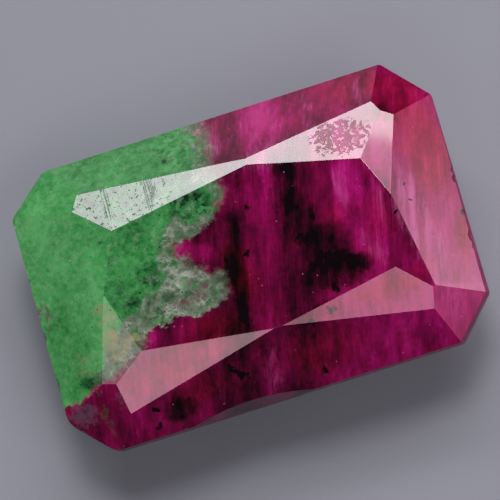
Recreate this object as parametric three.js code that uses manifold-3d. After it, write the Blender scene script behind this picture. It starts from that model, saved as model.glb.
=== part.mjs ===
// A cut stone of ruby grown together with green zoisite, in millimetres, +Z up.
// The outline is a long octagon. The crown is scissor cut: thin kite-shaped blades lie round the table and
// meet in pairs at the middle of each side, with a broad triangle below each meeting point and a facet on
// each corner. The pavilion steps in three times to a small flat facet, and the stone stands on that.
// The origin is under the middle of the stone, level with that facet. +X runs along the stone and +Z out of
// the table.

import * as THREE from "three";
import { mergeVertices } from "three/addons/utils/BufferGeometryUtils.js";
import Module from "manifold-3d";

const { degToRad, radToDeg } = THREE.MathUtils;
const wasm = await Module();
wasm.setup();

// Heights of the crown and of the upright girdle band below it
const CROWN_HEIGHT = 2.0;
const GIRDLE_THICKNESS = 1.0;

// Steps of the pavilion, from the girdle down: how deep each goes, and how far a side comes in on the way
const PAVILION_STEPS = [
  { depth: 1.3, inset: 0.7 },
  { depth: 1.6, inset: 1.45 },
  { depth: 1.7, inset: 2.35 },
];
// A corner comes in by this many times the inset of a side, so that it lasts down to the resting facet
const CORNER_INSET = 1.25;

// The upright sides of the girdle, counter-clockwise from the right, in turn a straight side and a corner.
// A side faces azimuth degrees at distance from the axis. The edge to the next side is worn back by wear.
const SIDES = [
  { azimuth: -1.2, distance: 10.15, wear: 0.1 },
  { azimuth: 41.5, distance: 10.7, wear: 0.1, corner: true },
  { azimuth: 90, distance: 6.65, wear: 0.1 },
  { azimuth: 130.5, distance: 10.25, wear: 0.1, corner: true },
  { azimuth: 179, distance: 10.05, wear: 0.45 },
  { azimuth: 223, distance: 10.75, wear: 0.4, corner: true },
  { azimuth: 270, distance: 6.75, wear: 0.15 },
  { azimuth: 316.5, distance: 10.65, wear: 0.1, corner: true },
];

// The main facets of the crown, one over each side. Each slopes down by slope degrees towards azimuth, and is
// level with the top of the girdle at distance from the axis.
const MAINS = [
  { azimuth: -2.5, distance: 10.0, slope: 35 },
  { azimuth: 43, distance: 10.6, slope: 36 },
  { azimuth: 89.5, distance: 6.7, slope: 36 },
  { azimuth: 129, distance: 10.15, slope: 31.5 },
  { azimuth: 177, distance: 10.0, slope: 31 },
  { azimuth: 229, distance: 10.35, slope: 30.5 },
  { azimuth: 270.5, distance: 6.7, slope: 34.5 },
  { azimuth: 317, distance: 10.45, slope: 35.5 },
];

// The blades of the scissor cut, two to each straight side. Each leaves the table at distance from the axis.
const BLADES = [
  { azimuth: -13.5, distance: 6.85, slope: 19.5 },
  { azimuth: 22, distance: 6.8, slope: 16.5 },
  { azimuth: 75.5, distance: 3.95, slope: 15.5 },
  { azimuth: 98.5, distance: 3.5, slope: 16 },
  { azimuth: 156, distance: 6.1, slope: 13.5 },
  { azimuth: 197, distance: 6.35, slope: 15.5 },
  { azimuth: 262, distance: 3.7, slope: 22 },
  { azimuth: 280, distance: 3.85, slope: 20.5 },
];

// Steep slivers ground along the edge between the mains and the girdle, placed as the mains are
const SLIVERS = [
  { azimuth: -2.3, distance: 10.05, slope: 65 },
  { azimuth: 316.5, distance: 10.5, slope: 65 },
];

// A shallow scoop that the rim of a wheel left along the front edge of the girdle, middle from its centre
const SCOOP = { middle: -1.7, azimuth: 270, distance: 6.5, slope: 65 };
const WHEEL_RADIUS = 19;
const WHEEL_SIDES = 180;

// A size that is larger than the stone in every direction, for the tools that grind it
const TOOL_SIZE = 60;

// Straight stretches in each worn corner
const WEAR_SEGMENTS = 4;

const PAVILION_DEPTH = PAVILION_STEPS.reduce((total, step) => total + step.depth, 0);
const GIRDLE_TOP = PAVILION_DEPTH + GIRDLE_THICKNESS;
const TABLE_HEIGHT = GIRDLE_TOP + CROWN_HEIGHT;

// A closed geometry as a solid that can be cut
function solid(geometry) {
  geometry.deleteAttribute("normal");
  geometry.deleteAttribute("uv");
  const merged = mergeVertices(geometry);
  const vertProperties = merged.attributes.position.array;
  const triVerts = new Uint32Array(merged.index.array);
  return new wasm.Manifold(new wasm.Mesh({ numProp: 3, vertProperties, triVerts }));
}

// The point where two neighbouring sides of the outline meet
function meeting(side, next) {
  const turn = degToRad(next.azimuth - side.azimuth);
  const along = (next.distance - side.distance * Math.cos(turn)) / Math.sin(turn);
  return new THREE.Vector2(side.distance, along).rotateAround(new THREE.Vector2(), degToRad(side.azimuth));
}

// The octagon seen from above, with its corners worn round
function outline() {
  const count = SIDES.length;
  const corners = SIDES.map((side, i) => meeting(side, SIDES[(i + 1) % count]));
  const shape = new THREE.Shape();
  SIDES.forEach(({ wear }, i) => {
    const tip = corners[i];
    const toward = (other) => other.clone().sub(tip).setLength(wear).add(tip);
    const start = toward(corners[(i + count - 1) % count]);
    const end = toward(corners[(i + 1) % count]);
    if (i === 0) shape.moveTo(start.x, start.y);
    else shape.lineTo(start.x, start.y);
    shape.quadraticCurveTo(tip.x, tip.y, end.x, end.y);
  });
  shape.closePath();
  return shape;
}

// A flat lap: all the space beyond x = 0
function lap() {
  return new THREE.BoxGeometry(TOOL_SIZE, TOOL_SIZE, TOOL_SIZE).translate(TOOL_SIZE / 2, 0, 0);
}

// A wheel that touches x = 0 from outside, at y = along, with its axis upright
function wheel(along) {
  const disc = new THREE.CylinderGeometry(WHEEL_RADIUS, WHEEL_RADIUS, TOOL_SIZE, WHEEL_SIDES);
  return disc.rotateX(Math.PI / 2).translate(WHEEL_RADIUS, along, 0);
}

// The stone less what a tool takes away outside one facet. The facet faces azimuth, its normal rises by rise
// degrees from level, and at height it stands distance from the axis.
function grind(stone, { azimuth, rise, distance, height, tool = lap() }) {
  tool.rotateY(-degToRad(rise));
  tool.translate(distance, 0, height);
  tool.rotateZ(degToRad(azimuth));
  return stone.subtract(solid(tool));
}

// What is ground off above the girdle: the mains, the blades round the table, the slivers and the scoop
function crownFacets() {
  const upward = ({ slope, ...place }, height) => ({ ...place, rise: 90 - slope, height });
  return [
    ...MAINS.map((main) => upward(main, GIRDLE_TOP)),
    ...BLADES.map((blade) => upward(blade, TABLE_HEIGHT)),
    ...SLIVERS.map((sliver) => upward(sliver, GIRDLE_TOP)),
    { ...upward(SCOOP, GIRDLE_TOP), tool: wheel(SCOOP.middle) },
  ];
}

// The facets of the pavilion, step by step from the girdle down
function pavilionFacets() {
  const facets = [];
  let height = PAVILION_DEPTH;
  let inset = 0;
  for (const step of PAVILION_STEPS) {
    for (const { azimuth, distance, corner } of SIDES) {
      const share = corner ? CORNER_INSET : 1;
      const rise = -radToDeg(Math.atan2(share * step.inset, step.depth));
      facets.push({ azimuth, rise, distance: distance - share * inset, height });
    }
    height -= step.depth;
    inset += step.inset;
  }
  return facets;
}

// The cut stone, with the middle of its box over the origin
function stoneGeometry() {
  const upright = { depth: TABLE_HEIGHT, bevelEnabled: false, curveSegments: WEAR_SEGMENTS };
  const blank = solid(new THREE.ExtrudeGeometry(outline(), upright));
  const cut = [...crownFacets(), ...pavilionFacets()].reduce(grind, blank);
  const { vertProperties, triVerts } = cut.getMesh();
  const geometry = new THREE.BufferGeometry();
  geometry.setAttribute("position", new THREE.BufferAttribute(vertProperties, 3));
  geometry.setIndex(new THREE.BufferAttribute(triVerts, 1));
  geometry.computeBoundingBox();
  const middle = geometry.boundingBox.getCenter(new THREE.Vector3());
  return geometry.translate(-middle.x, -middle.y, 0);
}

// Polished and opaque, mostly deep magenta
const rubyInZoisite = new THREE.MeshStandardMaterial({
  color: 0x8a1546,
  roughness: 0.08,
  metalness: 0,
  flatShading: true,
});

const gemstone = new THREE.Mesh(stoneGeometry(), rubyInZoisite);
gemstone.name = "gemstone";

const cutStone = new THREE.Group();
cutStone.add(gemstone);

export default cutStone;
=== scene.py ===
import math
import random

import bmesh
import bpy
from mathutils import Matrix, Vector


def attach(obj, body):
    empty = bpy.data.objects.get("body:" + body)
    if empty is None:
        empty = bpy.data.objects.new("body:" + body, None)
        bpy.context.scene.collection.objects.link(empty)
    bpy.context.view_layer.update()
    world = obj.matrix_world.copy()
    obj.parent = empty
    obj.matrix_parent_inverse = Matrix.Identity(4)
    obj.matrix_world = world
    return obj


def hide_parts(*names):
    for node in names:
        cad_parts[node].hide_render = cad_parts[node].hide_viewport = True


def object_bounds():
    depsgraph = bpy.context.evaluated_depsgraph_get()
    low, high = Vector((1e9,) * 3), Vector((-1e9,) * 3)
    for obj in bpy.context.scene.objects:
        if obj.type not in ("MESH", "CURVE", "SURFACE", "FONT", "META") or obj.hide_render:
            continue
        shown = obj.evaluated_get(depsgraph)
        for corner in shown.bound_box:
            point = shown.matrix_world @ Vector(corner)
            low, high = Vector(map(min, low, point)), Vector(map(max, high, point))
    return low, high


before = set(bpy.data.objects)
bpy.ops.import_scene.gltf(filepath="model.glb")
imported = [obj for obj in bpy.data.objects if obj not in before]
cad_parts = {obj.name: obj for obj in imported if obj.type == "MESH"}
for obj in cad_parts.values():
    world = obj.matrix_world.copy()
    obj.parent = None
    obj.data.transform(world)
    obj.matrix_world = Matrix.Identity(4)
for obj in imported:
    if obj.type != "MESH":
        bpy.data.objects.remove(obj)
cad_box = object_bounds()

# Sizes below are in millimetres, and Blender works in metres
MM = 0.001

# View of the stone: the direction from it to the camera, the turn about that line, and the distance
VIEW_DIRECTION = Vector((0.07, -0.145, 0.98695))
VIEW_ROLL = math.radians(17.7)
VIEW_DISTANCE = 170
# Pixels to a millimetre of the stone, the width of the image in pixels, and that of the sensor
VIEW_SCALE = 21.8
IMAGE_SIZE = 500
SENSOR_WIDTH = 36
# What is closer to the camera than this doesn't show
CLIP_START = 10
# Where the middle of the stone, at the height of its girdle, comes in the image
STONE_CENTRE = Vector((0, 0, 5.6))
STONE_PIXEL = (249.3, 257.0)

# How far each facet edge is worn back
EDGE_WEAR = 0.03
# Points of the solid that are closer together than this are one point
WELD = 0.04
# Angles in degrees between neighbouring faces: below the first they are one facet, and above the second their
# edge is worn
FLAT_ANGLE = 0.3
SHARP_ANGLE = 2.5

# Chips along the edges of the girdle: how many, their half widths, how much longer they are along the edge,
# the share of the half width that cuts in, and how far their surface is frosted
CHIP_SEED = 7
CHIP_COUNT = 60
CHIP_SMALLEST = 0.07
CHIP_LARGEST = 0.34
CHIP_STRETCH = (1.0, 2.2)
CHIP_DEPTH = 0.3
CHIP_FROST = 0.7

# Slopes in degrees that part the table, the blades, the mains and the girdle from each other
TABLE_SLOPE = 6
BLADE_SLOPE = 26
MAIN_SLOPE = 45
GIRDLE_SLOPE = 98

# How much light comes back out through each facet of the crown, by the azimuth that it faces
MAIN_RETURN = {-2.5: 0.7, 43: 0.1, 89.5: 0.4, 129: 0.7, 177: 0.95, 229: 0.15, 270.5: 0.0, 317: 0.7}
BLADE_RETURN = {-13.5: -0.25, 22: 0.75, 75.5: 0.6, 98.5: -0.5, 156: 0.5, 197: 0.6, 262: 0.85, 280: 1.0}

# Edge of the ruby, as the x where it starts at each y
RUBY_EDGE = [
    (-7.0, -11.5), (-4.5, -10.8), (-4.0, -9.0), (-3.7, -7.9), (-3.2, -6.5), (-2.7, -5.8), (-2.2, -5.4),
    (-2.05, -3.6), (-1.9, -1.9), (-1.1, -1.45), (-0.4, -1.75), (0.1, -2.4), (0.7, -3.0), (1.25, -3.2),
    (1.55, -2.0), (2.0, -1.1), (2.7, -0.35), (3.6, -0.45), (4.4, -0.55), (5.3, -0.4), (7.0, -0.45),
]
# Edge of the pale sugary zone beside it, in the same way
PALE_EDGE = [
    (-7.0, -8.5), (-2.5, -7.6), (-1.75, -6.8), (-1.3, -6.0), (-0.9, -5.3), (-0.4, -4.7), (0.4, -4.1),
    (1.3, -3.7), (2.1, -3.2), (2.9, -2.2), (3.6, -1.3), (5.0, -1.2), (7.0, -1.3),
]
# Ranges of x and of y that the two edges cover
EDGE_REACH = (-12.0, 2.0)
WIDTH_REACH = (-7.0, 7.0)

# Growth bands of the ruby: its brightness across them. They lean by BAND_LEAN in x for each step in y.
BAND_LEAN = 0.24
BAND_REACH = (-9.0, 12.0)
BANDS = [
    (-9.0, 0.46), (-3.0, 0.42), (-1.8, 0.38), (-0.8, 0.20), (-0.1, 0.27), (0.5, 0.43), (1.1, 0.42),
    (1.7, 0.32), (2.4, 0.24), (3.1, 0.36), (4.0, 0.52), (5.2, 0.62), (7.0, 0.58), (12.0, 0.62),
]

# Soft spots seen from above: the middle, the half lengths, a turn in degrees and an amount.
# Brighter and darker spots of the ruby. The two broad bright ones along the +y long side are a painted sheen
# standing in for light that those facets reflect.
RUBY_TONES_AND_SHEEN = [
    ((2.95, 2.9), (0.50, 1.4), 0, -0.26),
    ((2.8, 0.8), (0.9, 1.7), 0, -0.34),
    ((3.6, -0.9), (1.4, 1.4), 20, -0.40),
    ((3.7, -2.1), (1.8, 1.1), 0, -0.48),
    ((4.9, -2.05), (0.8, 0.5), 0, -0.30),
    ((-0.5, -1.0), (0.6, 1.7), -6, -0.20),
    ((-0.8, -2.7), (0.40, 1.2), 0, -0.24),
    ((-5.0, -5.8), (1.0, 0.6), 0, -0.35),
    ((-8.8, -4.9), (1.7, 1.3), 0, -0.16),
    ((1.95, 2.9), (0.30, 1.1), -12, 0.22),
    ((-2.3, 0.8), (1.2, 0.7), -25, 0.30),
    ((-6.6, -5.8), (1.0, 0.8), 0, 0.16),
    ((-5.0, -2.45), (0.5, 0.4), 0, 0.16),
    ((-0.6, -5.6), (0.7, 1.6), -12, 0.12),
    # These two paint a brighter sheen along the +y long side of the stone
    ((1.3, 5.7), (3.6, 1.9), 0, 0.27),
    ((3.4, 5.8), (2.2, 1.6), 0, 0.18),
    ((0.3, -5.5), (0.8, 1.2), -12, 0.18),
    ((7.0, 4.6), (1.6, 1.0), 0, -0.16),
    ((-0.1, 2.7), (0.8, 1.1), 0, 0.22),
    ((0.9, 2.2), (0.7, 1.2), 0, 0.14),
    ((5.4, 1.6), (0.8, 1.6), 5, 0.25),
    ((7.0, 0.0), (0.7, 2.0), 8, -0.10),
    ((2.8, -3.6), (0.9, 0.5), 0, -0.16),
    ((-2.6, -3.7), (1.1, 0.5), 8, 0.14),
    ((7.1, 2.3), (0.6, 1.1), 0, 0.16),
    ((7.9, 4.2), (0.6, 0.6), 0, -0.22),
    ((6.8, 6.1), (1.6, 0.9), 0, -0.12),
    ((-0.6, 3.95), (1.4, 0.4), 8, 0.36),
    ((-4.6, -4.3), (3.2, 1.0), 8, 0.10),
    ((7.6, -4.9), (2.2, 1.2), 0, 0.12),
    ((9.6, -2.2), (0.25, 0.8), 0, -0.08),
    ((9.3, 2.6), (0.25, 0.9), 10, -0.08),
]
# Spots that are more crimson than violet
CRIMSON = [
    ((-0.4, -0.8), (0.9, 2.2), 0, 0.75),
    ((-2.4, -2.8), (1.8, 0.8), 0, 0.75),
    ((-3.6, -5.2), (2.0, 0.9), 0, 0.6),
    ((4.2, 0.3), (0.7, 1.0), 0, 0.4),
    ((6.4, -0.3), (0.8, 1.6), 0, 0.4),
    ((3.2, 4.0), (4.2, 0.8), 8, -1.0),
    ((-0.8, 4.0), (1.2, 0.7), 0, -1.0),
    ((6.2, -3.4), (2.6, 0.7), 8, 0.7),
    ((-4.4, -3.9), (3.6, 0.9), 8, 0.5),
    ((6.8, 6.2), (2.4, 1.3), 0, 0.5),
    ((8.7, 5.0), (1.6, 1.8), 0, 0.8),
    ((9.2, 2.2), (1.3, 2.8), 0, 0.8),
    ((9.7, -2.0), (0.5, 1.4), 0, 0.6),
    ((2.2, -5.2), (2.4, 1.2), 0, 0.6),
]
# Spots with more pale silk in them. Those along the +y long side are partly silk and partly a painted hazy
# sheen.
SILK_AND_SHEEN_SPOTS = [
    ((5.1, 1.0), (0.5, 1.8), 5, 0.5),
    ((6.5, 0.4), (0.5, 1.8), 5, 0.25),
    ((5.7, -1.6), (0.6, 1.2), 10, 0.5),
    ((7.9, -1.0), (0.9, 4.2), 6, 0.75),
    ((3.0, 4.0), (3.6, 0.8), 8, 0.40),
    ((8.4, -5.0), (1.4, 1.0), 0, 0.25),
    ((-0.4, -5.4), (0.8, 1.6), -12, 0.25),
    # These four are partly silk and partly a painted hazy sheen along the +y long side
    ((-0.1, 5.6), (0.7, 1.6), 0, 0.55),
    ((4.5, 5.3), (0.5, 1.6), 0, 0.6),
    ((7.1, 5.6), (0.5, 1.2), 0, 0.5),
    ((2.0, 5.4), (1.8, 1.6), 0, 0.25),
]
# Brighter and darker spots of the green
ZOISITE_TONES = [
    ((-4.5, 0.3), (0.6, 0.9), 20, -0.22),
    ((-5.6, -0.6), (0.8, 0.5), 30, -0.18),
    ((-8.0, -3.4), (1.3, 0.6), 0, -0.6),
    ((-7.4, -2.9), (0.30, 0.25), 0, -0.75),
    ((-2.2, 5.3), (0.35, 0.3), -30, -0.35),
    ((-1.9, 2.8), (1.5, 1.0), 0, -0.25),
    ((-8.2, 4.8), (2.2, 1.8), 0, 0.10),
    ((-9.0, -1.8), (1.4, 2.8), 0, -0.24),
]
# Tan stains in the green
TAN_STAINS = [
    ((-6.8, -2.3), (1.1, 1.0), 0, 0.75),
    ((-7.0, -1.0), (0.6, 1.2), 0, 0.55),
    ((-5.6, -2.2), (0.7, 0.35), 0, 0.5),
    ((-8.6, -2.4), (1.0, 1.0), 0, 0.35),
]
# A brown vein and grey grains that cross into the ruby, and a grey patch in the green
VEIN = [((-8.3, -5.1), (0.28, 1.5), 8, 1.0)]
GREY_PATCHES = [
    ((-9.3, -4.6), (1.1, 0.9), 0, 0.9),
    ((-7.4, -4.6), (0.9, 0.8), 0, 0.6),
    ((-9.8, 0.2), (0.5, 1.4), 0, 0.8),
    ((-5.9, -3.9), (0.8, 0.6), 0, 0.4),
]
# Where the pale zone is broken up by green
PALE_GAPS = [
    ((-1.6, 2.9), (1.5, 1.3), 0, 0.9),
    ((-1.4, 5.6), (2.0, 1.8), 0, 0.45),
    ((-4.6, -0.2), (0.7, 0.9), 30, 0.4),
]
# Brighter and darker spots of the pale zone
PALE_TONES = [
    ((-3.2, -0.3), (1.0, 0.9), 0, 0.16),
    ((-4.5, -1.1), (1.0, 0.7), 30, -0.20),
]
# Purple grains among the pale ones, and dark green ones
PURPLE_GRAINS = [
    ((-2.5, -0.9), (1.1, 1.1), 0, 1.0),
    ((-3.5, -1.5), (0.6, 0.5), 0, 1.0),
]
GREEN_GRAINS = [
    ((-1.9, 2.6), (1.3, 0.9), 0, 1.0),
    ((-1.8, 5.6), (1.4, 1.4), 0, 0.7),
]
# Black inclusions
INCLUSIONS = [
    ((3.75, -1.9), (0.34, 0.46), 10, 1.2),
    ((4.5, -2.1), (0.42, 0.26), 25, 1.2),
    ((3.9, -0.6), (0.26, 0.26), 0, 1.2),
    ((3.3, 0.7), (0.20, 0.6), 0, 1.0),
    ((2.6, -0.05), (0.2, 0.2), 0, 1.1),
    ((3.2, -1.2), (0.24, 0.40), 20, 1.1),
    ((3.4, -2.75), (0.26, 0.50), 0, 1.1),
    ((0.1, -0.05), (0.16, 0.18), 0, 1.1),
    ((-0.75, -0.35), (0.14, 0.40), 20, 1.1),
    ((-0.75, -2.3), (0.22, 0.30), 0, 1.1),
    ((-0.85, -3.1), (0.18, 0.30), 0, 1.0),
    ((0.65, 2.05), (0.14, 0.2), 0, 0.8),
    ((-1.85, -5.15), (0.17, 0.62), 42, 1.4),
    ((1.75, -6.05), (0.14, 0.32), -20, 1.2),
    ((1.95, -3.95), (0.3, 0.14), 0, 1.1),
    ((-6.0, -5.55), (0.20, 0.20), 0, 1.3),
    ((-6.1, -6.2), (0.20, 0.24), 0, 1.1),
    ((2.9, -3.7), (0.35, 0.14), 0, 0.9),
    ((7.3, -0.3), (0.14, 0.10), 30, 1.1),
    ((7.75, 0.9), (0.12, 0.16), 0, 1.0),
    ((7.95, 0.0), (0.10, 0.14), 0, 1.1),
    ((8.3, -1.6), (0.14, 0.10), 0, 1.0),
    ((9.9, -1.1), (0.14, 0.2), 0, 1.0),
]

# Facets with their own finish: the slope and azimuth that they face
PITTED_FACET = (16, 98.5)
ABRADED_FACET = (15.5, 75.5)
# Cosines of the angle to such a facet: a face below the first isn't part of it, and one above the second is
SAME_FACET = (0.9980, 0.9990)
# Where lines of the polish and pits show on the pitted facet, and where the other facet is abraded
POLISH_LINES = [
    ((-6.5, 4.4), (0.35, 1.2), 0, 0.7),
    ((-5.35, 4.1), (0.5, 1.6), 0, 1.0),
    ((-3.45, 4.0), (0.6, 1.4), 0, 1.2),
]
PITS = [((-5.4, 4.2), (4.2, 2.4), 0, 1.0)]
ABRASION = [((5.7, 3.75), (1.75, 1.15), -10, 1.0)]

# Colours, as linear red, green and blue, from dark to light
CRIMSON_RAMP = [
    (0.0, (0.004, 0.0005, 0.001)), (0.2, (0.052, 0.0004, 0.002)), (0.4, (0.150, 0.001, 0.014)),
    (0.6, (0.280, 0.002, 0.038)), (0.8, (0.450, 0.006, 0.075)), (1.0, (0.620, 0.020, 0.140)),
]
VIOLET_RAMP = [
    (0.0, (0.004, 0.0005, 0.002)), (0.2, (0.048, 0.0004, 0.012)), (0.4, (0.140, 0.001, 0.036)),
    (0.6, (0.270, 0.002, 0.078)), (0.8, (0.440, 0.006, 0.160)), (1.0, (0.600, 0.025, 0.270)),
]
ZOISITE_RAMP = [
    (0.0, (0.005, 0.024, 0.010)), (0.25, (0.022, 0.150, 0.038)), (0.5, (0.052, 0.290, 0.076)),
    (0.75, (0.088, 0.410, 0.118)), (1.0, (0.150, 0.550, 0.180)),
]
PALE_RAMP = [
    (0.0, (0.030, 0.075, 0.034)), (0.35, (0.105, 0.165, 0.095)), (0.6, (0.200, 0.245, 0.175)),
    (0.85, (0.370, 0.410, 0.340)), (1.0, (0.620, 0.640, 0.580)),
]
SILK = (0.72, 0.14, 0.42)
TAN = (0.40, 0.33, 0.16)
BROWN = (0.085, 0.070, 0.030)
GREY_PURPLE = (0.170, 0.075, 0.125)
PURPLE = (0.150, 0.020, 0.075)
WHITE_FLECK = (0.75, 0.72, 0.66)
FROST = (0.085, 0.030, 0.060)
FLOOR_COLOUR = (0.36, 0.36, 0.42)

# How the light changes across the panels that are not even
KEY_SHARES = [(0.0, 0.50), (0.35, 0.98), (0.65, 1.05), (0.86, 1.14), (0.96, 0.84)]
FRONT_SHARES = [(0.0, 1.0), (0.3, 1.0), (0.65, 0.68), (1.0, 0.8)]
RIGHT_SHARES = [(0.2, 2.2), (0.72, 0.1)]
# Panels of light: the elevation and azimuth where each stands, its distance from the stone, its width and
# height, its radiance, and how that changes across it
SOFTBOXES = {
    "key": ((52.1, 70.4), 308, (300, 60), 7.0, KEY_SHARES),
    "key_halo": ((57.4, 38.0), 308, (60, 60), 2.0),
    "overhead": ((68.0, 68.0), 300, (80, 80), 14.0),
    "front": ((54.2, -95.0), 300, (170, 70), 2.0, FRONT_SHARES),
    "left": ((54.0, -178.7), 300, (80, 60), 1.0),
    "right_card": ((21.3, 6.5), 120, (36, 40), 1.0, RIGHT_SHARES),
    "back_card": ((7.7, 93.0), 220, (140, 40), 0.3),
    "front_card": ((27.6, -39.2), 200, (70, 50), 0.3),
    "fill": ((60.0, -40.0), 300, (140, 110), 2.6),
}

# Refraction index between those of corundum and zoisite
STONE_IOR = 1.75
# Roughness of the polish, and what damage and the ground girdle add to it
POLISH_ROUGHNESS = 0.04
DAMAGE_ROUGHNESS = 0.4
GIRDLE_ROUGHNESS = 0.45
# How strongly and how deep damage dents the surface
DENT_STRENGTH = 0.3
DENT_DEPTH = 0.01
# How far the ruby's streaks shift along the way that a facet faces, so that they break at its edges
FACET_SHIFT = 2.0

# Light all round, and the floor
WORLD_COLOUR = (0.9, 0.92, 1.0)
WORLD_STRENGTH = 0.03
FLOOR_REACH = 2000
FLOOR_ROUGHNESS = 0.9
FLOOR_SPECULAR = 0.1


def share_of(number, limits):
    """How far a number is from the first limit to the second, as a share."""
    return (number - limits[0]) / (limits[1] - limits[0])


class Graph:
    """The node tree of one material, with a short call for each kind of node."""

    def __init__(self, tree):
        self.tree = tree
        tree.nodes.clear()

    def node(self, kind, inputs, **settings):
        """A new node. Inputs are sockets, numbers, vectors or colours, by name or number."""
        made = self.tree.nodes.new(kind)
        for name, value in settings.items():
            setattr(made, name, value)
        for name, value in inputs.items():
            socket = made.inputs[name]
            if isinstance(value, bpy.types.NodeSocket):
                self.tree.links.new(value, socket)
            elif socket.type == "RGBA":
                socket.default_value = (*value, 1.0)
            else:
                socket.default_value = value
        return made

    def math(self, operation, first, second=0.0, third=0.0, clamp=False):
        inputs = {0: first, 1: second, 2: third}
        return self.node("ShaderNodeMath", inputs, operation=operation, use_clamp=clamp).outputs[0]

    def vector(self, operation, first, second=(0.0, 0.0, 0.0)):
        inputs = {0: first, 1: second}
        return self.node("ShaderNodeVectorMath", inputs, operation=operation).outputs[0]

    def split(self, vector):
        return self.node("ShaderNodeSeparateXYZ", {0: vector}).outputs

    def noise(self, place, size, detail=3.0, roughness=0.5, output=0):
        """Noise whose lumps are about size millimetres apart."""
        inputs = {"Vector": place, "Scale": 1 / size, "Detail": detail, "Roughness": roughness}
        return self.node("ShaderNodeTexNoise", inputs).outputs[output]

    def cells(self, place, size, output=0, feature="F1"):
        """Cells about size millimetres across: their distance fields or their random colours."""
        inputs = {"Vector": place, "Scale": 1 / size}
        return self.node("ShaderNodeTexVoronoi", inputs, feature=feature).outputs[output]

    def rise(self, value, low, high):
        """0 below low, 1 above high, with a smooth step between them."""
        inputs = {"Value": value, "From Min": low, "From Max": high}
        return self.node("ShaderNodeMapRange", inputs, interpolation_type="SMOOTHSTEP").outputs[0]

    def ramp(self, value, stops):
        made = self.node("ShaderNodeValToRGB", {0: value})
        elements = made.color_ramp.elements
        while len(elements) < len(stops):
            elements.new(1.0)
        for element, (position, colour) in zip(elements, stops):
            element.position = position
            element.color = (*colour, 1.0)
        return made.outputs[0]

    def curve(self, value, value_range, points, point_range):
        """A smooth curve through points, each a value and what it gives."""
        inputs = {0: value, 1: value_range[0], 2: value_range[1]}
        scaled = self.node("ShaderNodeMapRange", inputs).outputs[0]
        made = self.node("ShaderNodeFloatCurve", {"Value": scaled})
        line = made.mapping.curves[0]
        while len(line.points) < len(points):
            line.points.new(0.5, 0.5)
        for point, (at, gives) in zip(line.points, points):
            point.location = (share_of(at, value_range), share_of(gives, point_range))
        made.mapping.update()
        inputs = {0: made.outputs[0], 3: point_range[0], 4: point_range[1]}
        return self.node("ShaderNodeMapRange", inputs).outputs[0]

    def measure(self, x, y, middle, turn, unit):
        """How far a place is from middle in the direction of turn, counted in units."""
        step_x = math.cos(turn) / unit
        step_y = math.sin(turn) / unit
        offset = -middle[0] * step_x - middle[1] * step_y
        return self.math("MULTIPLY_ADD", x, step_x, self.math("MULTIPLY_ADD", y, step_y, offset))

    def spots(self, flat, spots):
        """The sum of soft spots seen from above, at flat, an x and a y."""
        total = 0.0
        for middle, half, degrees, amount in spots:
            turn = math.radians(degrees)
            along = self.measure(*flat, middle, turn, half[0])
            across = self.measure(*flat, middle, turn + math.pi / 2, half[1])
            away = self.math("MULTIPLY_ADD", along, along, self.math("MULTIPLY", across, across))
            total = self.math("MULTIPLY_ADD", self.rise(away, 1.0, 0.02), amount, total)
        return total

    def about(self, value, reach):
        """A value between 0 and 1, as one between minus and plus half of reach."""
        return self.math("MULTIPLY_ADD", value, reach, -reach / 2)

    def vary(self, value, pattern, reach):
        """A value that a pattern between 0 and 1 raises and lowers by up to half of reach."""
        return self.math("ADD", value, self.about(pattern, reach))

    def mix(self, share, first, second):
        """The first colour with a share of the second in its place."""
        inputs = {0: share, 6: first, 7: second}
        return self.node("ShaderNodeMix", inputs, data_type="RGBA").outputs[2]

    def tint(self, share, most, first, second):
        """The first colour mixed with the second, of which there is at most the share most."""
        return self.mix(self.math("MULTIPLY", share, most), first, second)


def direction(elevation, azimuth):
    """A unit vector from angles in degrees."""
    level = math.cos(math.radians(elevation))
    turn = math.radians(azimuth)
    return Vector((level * math.cos(turn), level * math.sin(turn), math.sin(math.radians(elevation))))


def nearest_return(table, azimuth):
    """The value of the facet in a table that faces closest to an azimuth in degrees."""
    def apart(other):
        return abs((azimuth - other + 180) % 360 - 180)
    return table[min(table, key=apart)]


def slope_of(normal):
    """The slope of a face in degrees, 0 for one that faces straight up."""
    return math.degrees(math.acos(max(-1, min(1, normal.z))))


def facet_return(normal):
    """How much light comes back out through a facet. One below the crown takes the value of a main."""
    slope = slope_of(normal)
    azimuth = math.degrees(math.atan2(normal.y, normal.x))
    if slope < TABLE_SLOPE:
        return 0.0
    if slope < BLADE_SLOPE:
        return nearest_return(BLADE_RETURN, azimuth)
    return nearest_return(MAIN_RETURN, azimuth)


def is_girdle(normal):
    """Whether a face is part of the girdle or of the steep facets along it."""
    return MAIN_SLOPE < slope_of(normal) < GIRDLE_SLOPE


def stone_mesh(solid):
    """The solid with one face to each facet and every edge worn back a little."""
    shape = bmesh.new()
    shape.from_mesh(solid.data)
    bmesh.ops.remove_doubles(shape, verts=shape.verts, dist=WELD * MM)
    bmesh.ops.dissolve_limit(shape, angle_limit=math.radians(FLAT_ANGLE), verts=shape.verts,
                             edges=shape.edges)
    shape.normal_update()
    light_return = shape.faces.layers.float.new("light_return")
    girdle = shape.faces.layers.float.new("girdle")
    for face in shape.faces:
        face[light_return] = facet_return(face.normal)
        face[girdle] = float(is_girdle(face.normal))
    rim = [rim_edge(edge) for edge in shape.edges if sum(face[girdle] for face in edge.link_faces) == 1]
    sharp = [edge for edge in shape.edges if edge.calc_face_angle(0) > math.radians(SHARP_ANGLE)]
    bmesh.ops.bevel(shape, geom=sharp, offset=EDGE_WEAR * MM, offset_type="OFFSET", segments=2, profile=0.5,
                    affect="EDGES", clamp_overlap=True)
    mesh = bpy.data.meshes.new("gemstone")
    shape.to_mesh(mesh)
    shape.free()
    return mesh, rim


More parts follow.
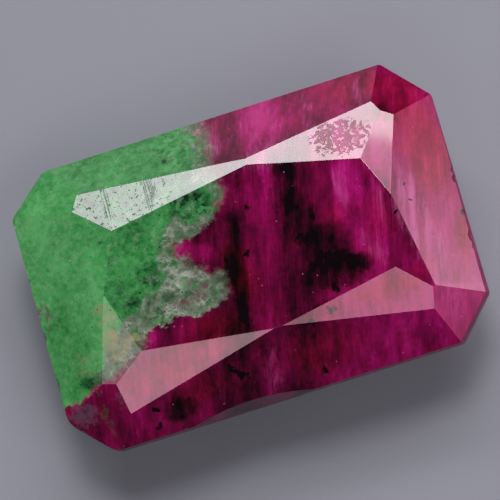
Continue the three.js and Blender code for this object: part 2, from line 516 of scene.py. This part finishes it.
def rim_edge(edge):
    """The two ends of an edge of the girdle and the direction that it points outwards."""
    start, end = (vertex.co.copy() for vertex in edge.verts)
    outward = sum((face.normal for face in edge.link_faces), Vector()).normalized()
    return start, end, outward


def chip_mesh(rim):
    """Stretched balls set along the edges of the girdle, each reaching a little way into the stone."""
    chance = random.Random(CHIP_SEED)
    shape = bmesh.new()
    lengths = [(end - start).length for start, end, outward in rim]
    for _ in range(CHIP_COUNT):
        start, end, outward = chance.choices(rim, weights=lengths)[0]
        radius = (CHIP_SMALLEST + (CHIP_LARGEST - CHIP_SMALLEST) * chance.random() ** 3) * MM
        along = (end - start).normalized()
        axes = Matrix((along * chance.uniform(*CHIP_STRETCH), outward.cross(along), outward)).transposed()
        middle = start.lerp(end, chance.random()) + outward * radius * (1 - CHIP_DEPTH)
        place = Matrix.Translation(middle) @ axes.to_4x4() @ Matrix.Scale(radius, 4)
        bmesh.ops.create_icosphere(shape, subdivisions=2, radius=1.0, matrix=place)
    shape.faces.layers.float.new("light_return")
    girdle = shape.faces.layers.float.new("girdle")
    for face in shape.faces:
        face[girdle] = CHIP_FROST
        face.smooth = True
    mesh = bpy.data.meshes.new("chips")
    shape.to_mesh(mesh)
    shape.free()
    return mesh


def chip_away(stone, rim):
    """Cut the chips out of the stone."""
    cutter = bpy.data.objects.new("chips", chip_mesh(rim))
    bpy.context.scene.collection.objects.link(cutter)
    cut = stone.modifiers.new("chips", "BOOLEAN")
    cut.operation = "DIFFERENCE"
    cut.solver = "EXACT"
    cut.use_self = True
    cut.object = cutter
    evaluated = stone.evaluated_get(bpy.context.evaluated_depsgraph_get())
    chipped = bpy.data.meshes.new_from_object(evaluated)
    stone.modifiers.clear()
    # The cut can round a coordinate to just outside the solid's box
    for vertex in chipped.vertices:
        vertex.co = [min(max(number, low), high) for number, low, high in zip(vertex.co, *cad_box)]
    stone.data = chipped
    bpy.data.objects.remove(cutter)


def make_stone():
    """The worn and chipped stone, in place of the solid."""
    mesh, rim = stone_mesh(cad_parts["gemstone"])
    stone = bpy.data.objects.new("ruby_in_zoisite", mesh)
    bpy.context.scene.collection.objects.link(stone)
    chip_away(stone, rim)
    stone.data.materials.clear()
    stone.data.materials.append(stone_material())
    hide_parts("gemstone")
    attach(stone, "root")


def wobble(graph, place, size, reach, detail=3.0):
    """Places moved about by noise, up to reach millimetres."""
    spread = graph.noise(place, size, detail, output=1)
    centred = graph.vector("SUBTRACT", spread, (0.5, 0.5, 0.5))
    return graph.vector("ADD", place, graph.vector("MULTIPLY", centred, (2 * reach,) * 3))


def zoisite_colour(graph, place, flat, light_return):
    """Granular green with deeper patches, black pin specks and pale flecks."""
    tone = graph.math("ADD", graph.spots(flat, ZOISITE_TONES), 0.43)
    tone = graph.vary(tone, graph.noise(place, 1.6, 4, 0.6), 0.9)
    tone = graph.vary(tone, graph.noise(place, 0.28, 5, 0.75), 1.1)
    grains = graph.split(graph.cells(wobble(graph, place, 0.2, 0.05), 0.2, output=1))[0]
    strength = graph.math("MULTIPLY_ADD", graph.spots(flat, GREEN_GRAINS), 0.4, 0.14)
    tone = graph.math("MULTIPLY_ADD", graph.about(grains, 1.0), strength, tone)
    tone = graph.math("MULTIPLY_ADD", light_return, 0.42, tone)
    green = graph.ramp(tone, ZOISITE_RAMP)
    green = graph.tint(outlines(graph, place, 0.20), 0.26, green, PALE_RAMP[-2][1])
    green = graph.mix(fleck_share(graph, place, 0.5, 0.035, 0.55), green, ZOISITE_RAMP[0][1])
    return graph.mix(fleck_share(graph, place, 0.45, 0.026, 0.6), green, WHITE_FLECK)


def fleck_share(graph, place, spacing, radius, sparseness):
    """1 in small flecks that are strewn about spacing apart, 0 between them."""
    # Flecks of another spacing then don't gather round the same point
    shifted = graph.vector("ADD", place, (17 * spacing, 5 * spacing, 9 * spacing))
    inputs = {"Vector": wobble(graph, shifted, 0.1, 0.03), "Scale": 1 / spacing}
    cells = graph.node("ShaderNodeTexVoronoi", inputs)
    near = graph.rise(cells.outputs[0], 1.6 * radius / spacing, 0.6 * radius / spacing)
    chosen = graph.math("GREATER_THAN", graph.split(cells.outputs[1])[0], sparseness)
    return graph.math("MULTIPLY", near, chosen)


def outlines(graph, place, size):
    """1 along the thin lines where grains about size across meet, 0 inside them."""
    edge = graph.cells(wobble(graph, place, 0.6 * size, 0.6 * size), size, feature="DISTANCE_TO_EDGE")
    shown = graph.rise(graph.noise(place, 2 * size), 0.45, 0.65)
    return graph.math("MULTIPLY", graph.rise(edge, 0.14, 0.0), shown)


def pale_colour(graph, place, flat):
    """Sugary grey-green grains, with purple and dark green ones among them."""
    grains = graph.split(graph.cells(wobble(graph, place, 0.15, 0.06), 0.24, output=1))[0]
    tone = graph.math("ADD", graph.about(graph.noise(place, 0.4, 5, 0.7), 1.5), 0.46)
    tone = graph.vary(tone, grains, 0.36)
    tone = graph.vary(tone, graph.noise(place, 1.0, 2), 0.5)
    tone = graph.math("ADD", tone, graph.spots(flat, PALE_TONES))
    pale = graph.ramp(tone, PALE_RAMP)
    pale = graph.tint(outlines(graph, place, 0.36), 0.5, pale, PALE_RAMP[-1][1])
    clots = graph.about(graph.noise(place, 0.4, 5, 0.7), 3.2)
    purple = graph.rise(graph.math("ADD", graph.spots(flat, PURPLE_GRAINS), clots), 0.7, 1.4)
    pale = graph.tint(purple, 0.8, pale, PURPLE)
    # The dark green grains come from another part of the noise than the purple ones
    elsewhere = graph.vector("ADD", place, (8.0, 3.0, 1.0))
    clots = graph.about(graph.noise(elsewhere, 0.35, 5, 0.7), 3.2)
    dark = graph.rise(graph.math("ADD", graph.spots(flat, GREEN_GRAINS), clots), 0.6, 1.3)
    return graph.tint(dark, 0.85, pale, ZOISITE_RAMP[1][1])


def ruby_colour(graph, place, flat, inside, light_return):
    """Crimson to violet in bands and streaks that run across the stone, with silk and black inclusions, and a
    painted sheen along its +y long side.
    """
    x, y, z = graph.split(wobble(graph, place, 2.5, 0.3))
    across = graph.math("MULTIPLY_ADD", y, -BAND_LEAN, x)
    x, y, z = graph.split(inside)
    leaning = graph.math("MULTIPLY_ADD", y, -BAND_LEAN, x)
    grown = graph.node("ShaderNodeCombineXYZ", {0: leaning, 1: y, 2: z}).outputs[0]
    grown = wobble(graph, grown, 0.8, 0.08)
    streaks = graph.noise(graph.vector("MULTIPLY", grown, (1.0, 0.14, 0.4)), 0.45, 5, 0.6)
    threads = graph.noise(graph.vector("MULTIPLY", grown, (1.0, 0.07, 0.3)), 0.12, 3, 0.55)
    clouds = graph.noise(graph.vector("MULTIPLY", grown, (1.0, 0.5, 0.6)), 1.1, 4, 0.6)
    tone = graph.curve(across, BAND_REACH, BANDS, (0.0, 1.0))
    # Tone spots, with a painted sheen along the +y long side
    tone = graph.math("ADD", tone, graph.spots(flat, RUBY_TONES_AND_SHEEN))
    tone = graph.vary(tone, streaks, 0.8)
    tone = graph.vary(tone, threads, 0.28)
    tone = graph.vary(tone, clouds, 0.85)
    tone = graph.vary(tone, graph.noise(inside, 0.22, 4, 0.65), 0.30)
    tone = graph.math("MULTIPLY_ADD", light_return, 0.30, tone)
    crimson = graph.math("ADD", graph.spots(flat, CRIMSON), graph.about(clouds, 1.2))
    crimson = graph.math("MULTIPLY_ADD", light_return, 0.45, crimson, clamp=True)
    ruby = graph.mix(crimson, graph.ramp(tone, VIOLET_RAMP), graph.ramp(tone, CRIMSON_RAMP))
    # Silk, with a painted hazy sheen along the +y long side of the stone
    silk_and_sheen = graph.math("ADD", graph.spots(flat, SILK_AND_SHEEN_SPOTS), graph.about(threads, 1.1))
    silk_and_sheen = graph.math("MULTIPLY", graph.rise(silk_and_sheen, 0.1, 0.9), graph.rise(streaks, 0.35, 0.7))
    ruby = graph.tint(silk_and_sheen, 0.75, ruby, SILK)
    ruby = graph.tint(fleck_share(graph, place, 0.5, 0.03, 0.45), 0.6, ruby, SILK)
    ragged = graph.about(graph.noise(place, 0.3, 5, 0.7), 2.0)
    black = graph.math("ADD", graph.spots(flat, INCLUSIONS), ragged)
    return graph.mix(graph.rise(black, 0.30, 1.0), ruby, CRIMSON_RAMP[0][1])


def facet_share(graph, normal, facet):
    """1 on the facet that has the given slope and azimuth, 0 elsewhere."""
    slope, azimuth = facet
    towards = direction(90 - slope, azimuth)
    along = graph.node("ShaderNodeVectorMath", {0: normal, 1: towards}, operation="DOT_PRODUCT")
    return graph.rise(along.outputs["Value"], *SAME_FACET)


def damage(graph, place, flat, normal):
    """How rough the polish is, from 0 to 1: pits and lines on one facet and an abraded patch on another."""
    pitted = facet_share(graph, normal, PITTED_FACET)
    abraded = facet_share(graph, normal, ABRADED_FACET)
    pits = graph.rise(graph.noise(place, 0.17, 3, 0.6), 0.60, 0.66)
    pits = graph.math("MULTIPLY", pits, graph.spots(flat, PITS))
    rows = graph.noise(graph.vector("MULTIPLY", place, (1.0, 0.02, 0.02)), 0.07, 2, 0.5)
    lines = graph.rise(graph.math("MULTIPLY", rows, graph.spots(flat, POLISH_LINES)), 0.42, 0.62)
    on_pitted = graph.math("MAXIMUM", pits, graph.math("MULTIPLY", lines, 0.5))
    on_pitted = graph.math("MULTIPLY", on_pitted, pitted)
    grit = graph.about(graph.noise(place, 0.18, 3, 0.6), 6.0)
    patch = graph.spots(flat, ABRASION)
    rubbed = graph.rise(graph.math("ADD", patch, grit), 0.5, 0.8)
    rubbed = graph.math("MULTIPLY", rubbed, graph.rise(patch, 0.05, 0.4))
    on_abraded = graph.math("MULTIPLY", rubbed, graph.math("MULTIPLY", abraded, 0.9))
    return graph.math("MAXIMUM", on_pitted, on_abraded)


def stone_material():
    """Polished ruby in zoisite, placed by the position on the stone and by the facet."""
    material = bpy.data.materials.new("ruby_in_zoisite")
    material.use_nodes = True
    graph = Graph(material.node_tree)
    metres = graph.node("ShaderNodeTexCoord", {}).outputs["Object"]
    place = graph.vector("MULTIPLY", metres, (1 / MM,) * 3)
    light_return = graph.node("ShaderNodeAttribute", {}, attribute_name="light_return").outputs["Fac"]
    girdle = graph.node("ShaderNodeAttribute", {}, attribute_name="girdle").outputs["Fac"]
    normal = graph.node("ShaderNodeNewGeometry", {}).outputs["True Normal"]
    inside = graph.vector("ADD", place, graph.vector("MULTIPLY", normal, (FACET_SHIFT,) * 3))

    ragged = wobble(graph, wobble(graph, place, 1.1, 0.22), 0.25, 0.14, 4)
    flat = graph.split(wobble(graph, wobble(graph, place, 1.3, 0.45, 2), 0.35, 0.28, 5))[:2]
    x, y, z = graph.split(ragged)
    frayed = graph.vary(y, graph.noise(place, 0.6, 6, 0.7), 1.5)
    into_ruby = graph.math("SUBTRACT", x, graph.curve(frayed, WIDTH_REACH, RUBY_EDGE, EDGE_REACH))
    into_pale = graph.math("SUBTRACT", x, graph.curve(y, WIDTH_REACH, PALE_EDGE, EDGE_REACH))
    into_ruby = graph.vary(into_ruby, graph.noise(place, 0.7, 6, 0.7), 2.2)
    into_pale = graph.vary(into_pale, graph.noise(place, 0.8, 6, 0.7), 2.2)
    ruby_share = graph.rise(into_ruby, -0.40, 0.60)
    thick = graph.about(graph.noise(place, 0.6, 5, 0.7), 4.0)
    thick = graph.math("SUBTRACT", thick, graph.spots(flat, PALE_GAPS))
    pale_share = graph.math("MULTIPLY", graph.rise(into_pale, -0.2, 0.3), graph.rise(thick, -0.8, 0.0))

    green = zoisite_colour(graph, place, flat, light_return)
    green = graph.mix(pale_share, green, pale_colour(graph, place, flat))
    stain = graph.about(graph.noise(place, 0.4, 5, 0.7), 2.4)
    stain = graph.math("ADD", stain, graph.spots(flat, TAN_STAINS))
    green = graph.tint(graph.rise(stain, 0.2, 1.1), 0.8, green, TAN)
    colour = graph.mix(ruby_share, green, ruby_colour(graph, place, flat, inside, light_return))
    clots = graph.about(graph.noise(place, 0.45, 5, 0.7), 3.0)
    grey = graph.rise(graph.math("ADD", graph.spots(flat, GREY_PATCHES), clots), 0.4, 1.1)
    colour = graph.tint(grey, 0.75, colour, GREY_PURPLE)
    vein = graph.rise(graph.math("ADD", graph.spots(flat, VEIN), clots), 0.5, 1.2)
    colour = graph.tint(vein, 0.8, colour, BROWN)
    colour = graph.tint(girdle, 0.35, colour, FROST)

    rough = damage(graph, place, flat, normal)
    roughness = graph.math("MULTIPLY_ADD", rough, DAMAGE_ROUGHNESS, POLISH_ROUGHNESS)
    roughness = graph.math("MULTIPLY_ADD", girdle, GIRDLE_ROUGHNESS, roughness)
    inputs = {"Strength": DENT_STRENGTH, "Distance": DENT_DEPTH * MM, "Height": rough}
    bump = graph.node("ShaderNodeBump", inputs, invert=True)
    inputs = {
        "Base Color": colour,
        "Roughness": roughness,
        "IOR": STONE_IOR,
        "Normal": bump.outputs[0],
    }
    shader = graph.node("ShaderNodeBsdfPrincipled", inputs)
    graph.node("ShaderNodeOutputMaterial", {"Surface": shader.outputs[0]})
    return material


def make_softbox(name, towards, distance, size, radiance, shares=None):
    """A lit panel that faces the stone, with its size in millimetres and the radiance that reflections show.

    Each of the shares is a place across the panel, from 0 to 1, and the share of the light there."""
    lamp = bpy.data.lights.new(name, "AREA")
    lamp.shape = "RECTANGLE"
    lamp.size = size[0] * MM
    lamp.size_y = size[1] * MM
    lamp.energy = math.pi * radiance * lamp.size * lamp.size_y
    if shares:
        lamp.use_nodes = True
        graph = Graph(lamp.node_tree)
        across = graph.split(graph.node("ShaderNodeNewGeometry", {}).outputs["Parametric"])[0]
        strength = graph.ramp(across, [(position, (share,) * 3) for position, share in shares])
        emission = graph.node("ShaderNodeEmission", {"Color": strength})
        graph.node("ShaderNodeOutputLight", {0: emission.outputs[0]})
    panel = bpy.data.objects.new(name, lamp)
    bpy.context.scene.collection.objects.link(panel)
    panel.visible_camera = False
    back = direction(*towards)
    right = Vector((0, 0, 1)).cross(back).normalized()
    up = back.cross(right)
    turn = Matrix((right, up, back)).transposed().to_4x4()
    panel.matrix_world = Matrix.Translation((STONE_CENTRE + back * distance) * MM) @ turn


def make_lights():
    """Soft panels, each where facets of the crown mirror it to the camera, and a faint light all round."""
    for name, settings in SOFTBOXES.items():
        make_softbox(name, *settings)
    world = bpy.data.worlds.new("studio")
    bpy.context.scene.world = world
    world.use_nodes = True
    background = world.node_tree.nodes["Background"]
    background.inputs["Color"].default_value = (*WORLD_COLOUR, 1.0)
    background.inputs["Strength"].default_value = WORLD_STRENGTH


def make_floor():
    """A plain matt floor that the stone stands on."""
    mesh = bpy.data.meshes.new("floor")
    reach = FLOOR_REACH * MM
    corners = [(-reach, -reach, 0), (reach, -reach, 0), (reach, reach, 0), (-reach, reach, 0)]
    mesh.from_pydata(corners, [], [(0, 1, 2, 3)])
    floor = bpy.data.objects.new("floor", mesh)
    bpy.context.scene.collection.objects.link(floor)
    material = bpy.data.materials.new("floor")
    material.use_nodes = True
    shader = material.node_tree.nodes["Principled BSDF"]
    shader.inputs["Base Color"].default_value = (*FLOOR_COLOUR, 1.0)
    shader.inputs["Roughness"].default_value = FLOOR_ROUGHNESS
    shader.inputs["Specular IOR Level"].default_value = FLOOR_SPECULAR
    mesh.materials.append(material)


def make_camera():
    """A camera whose image shows the stone at the photograph's angle, size and place."""
    lens = bpy.data.cameras.new("camera")
    lens.sensor_width = SENSOR_WIDTH
    lens.lens = SENSOR_WIDTH * VIEW_SCALE * VIEW_DISTANCE / IMAGE_SIZE
    lens.clip_start = CLIP_START * MM
    camera = bpy.data.objects.new("camera", lens)
    bpy.context.scene.collection.objects.link(camera)
    back = VIEW_DIRECTION.normalized()
    level = Vector((1, 0, 0))
    level = (level - back * level.dot(back)).normalized()
    upright = back.cross(level)
    right = level * math.cos(VIEW_ROLL) - upright * math.sin(VIEW_ROLL)
    up = level * math.sin(VIEW_ROLL) + upright * math.cos(VIEW_ROLL)
    aside = (IMAGE_SIZE / 2 - STONE_PIXEL[0]) / VIEW_SCALE
    above = (STONE_PIXEL[1] - IMAGE_SIZE / 2) / VIEW_SCALE
    place = STONE_CENTRE + back * VIEW_DISTANCE + right * aside + up * above
    turn = Matrix((right, up, back)).transposed().to_4x4()
    camera.matrix_world = Matrix.Translation(place * MM) @ turn
    bpy.context.scene.camera = camera


make_camera()
make_floor()
make_lights()
make_stone()
bpy.context.scene.view_settings.view_transform = "Standard"
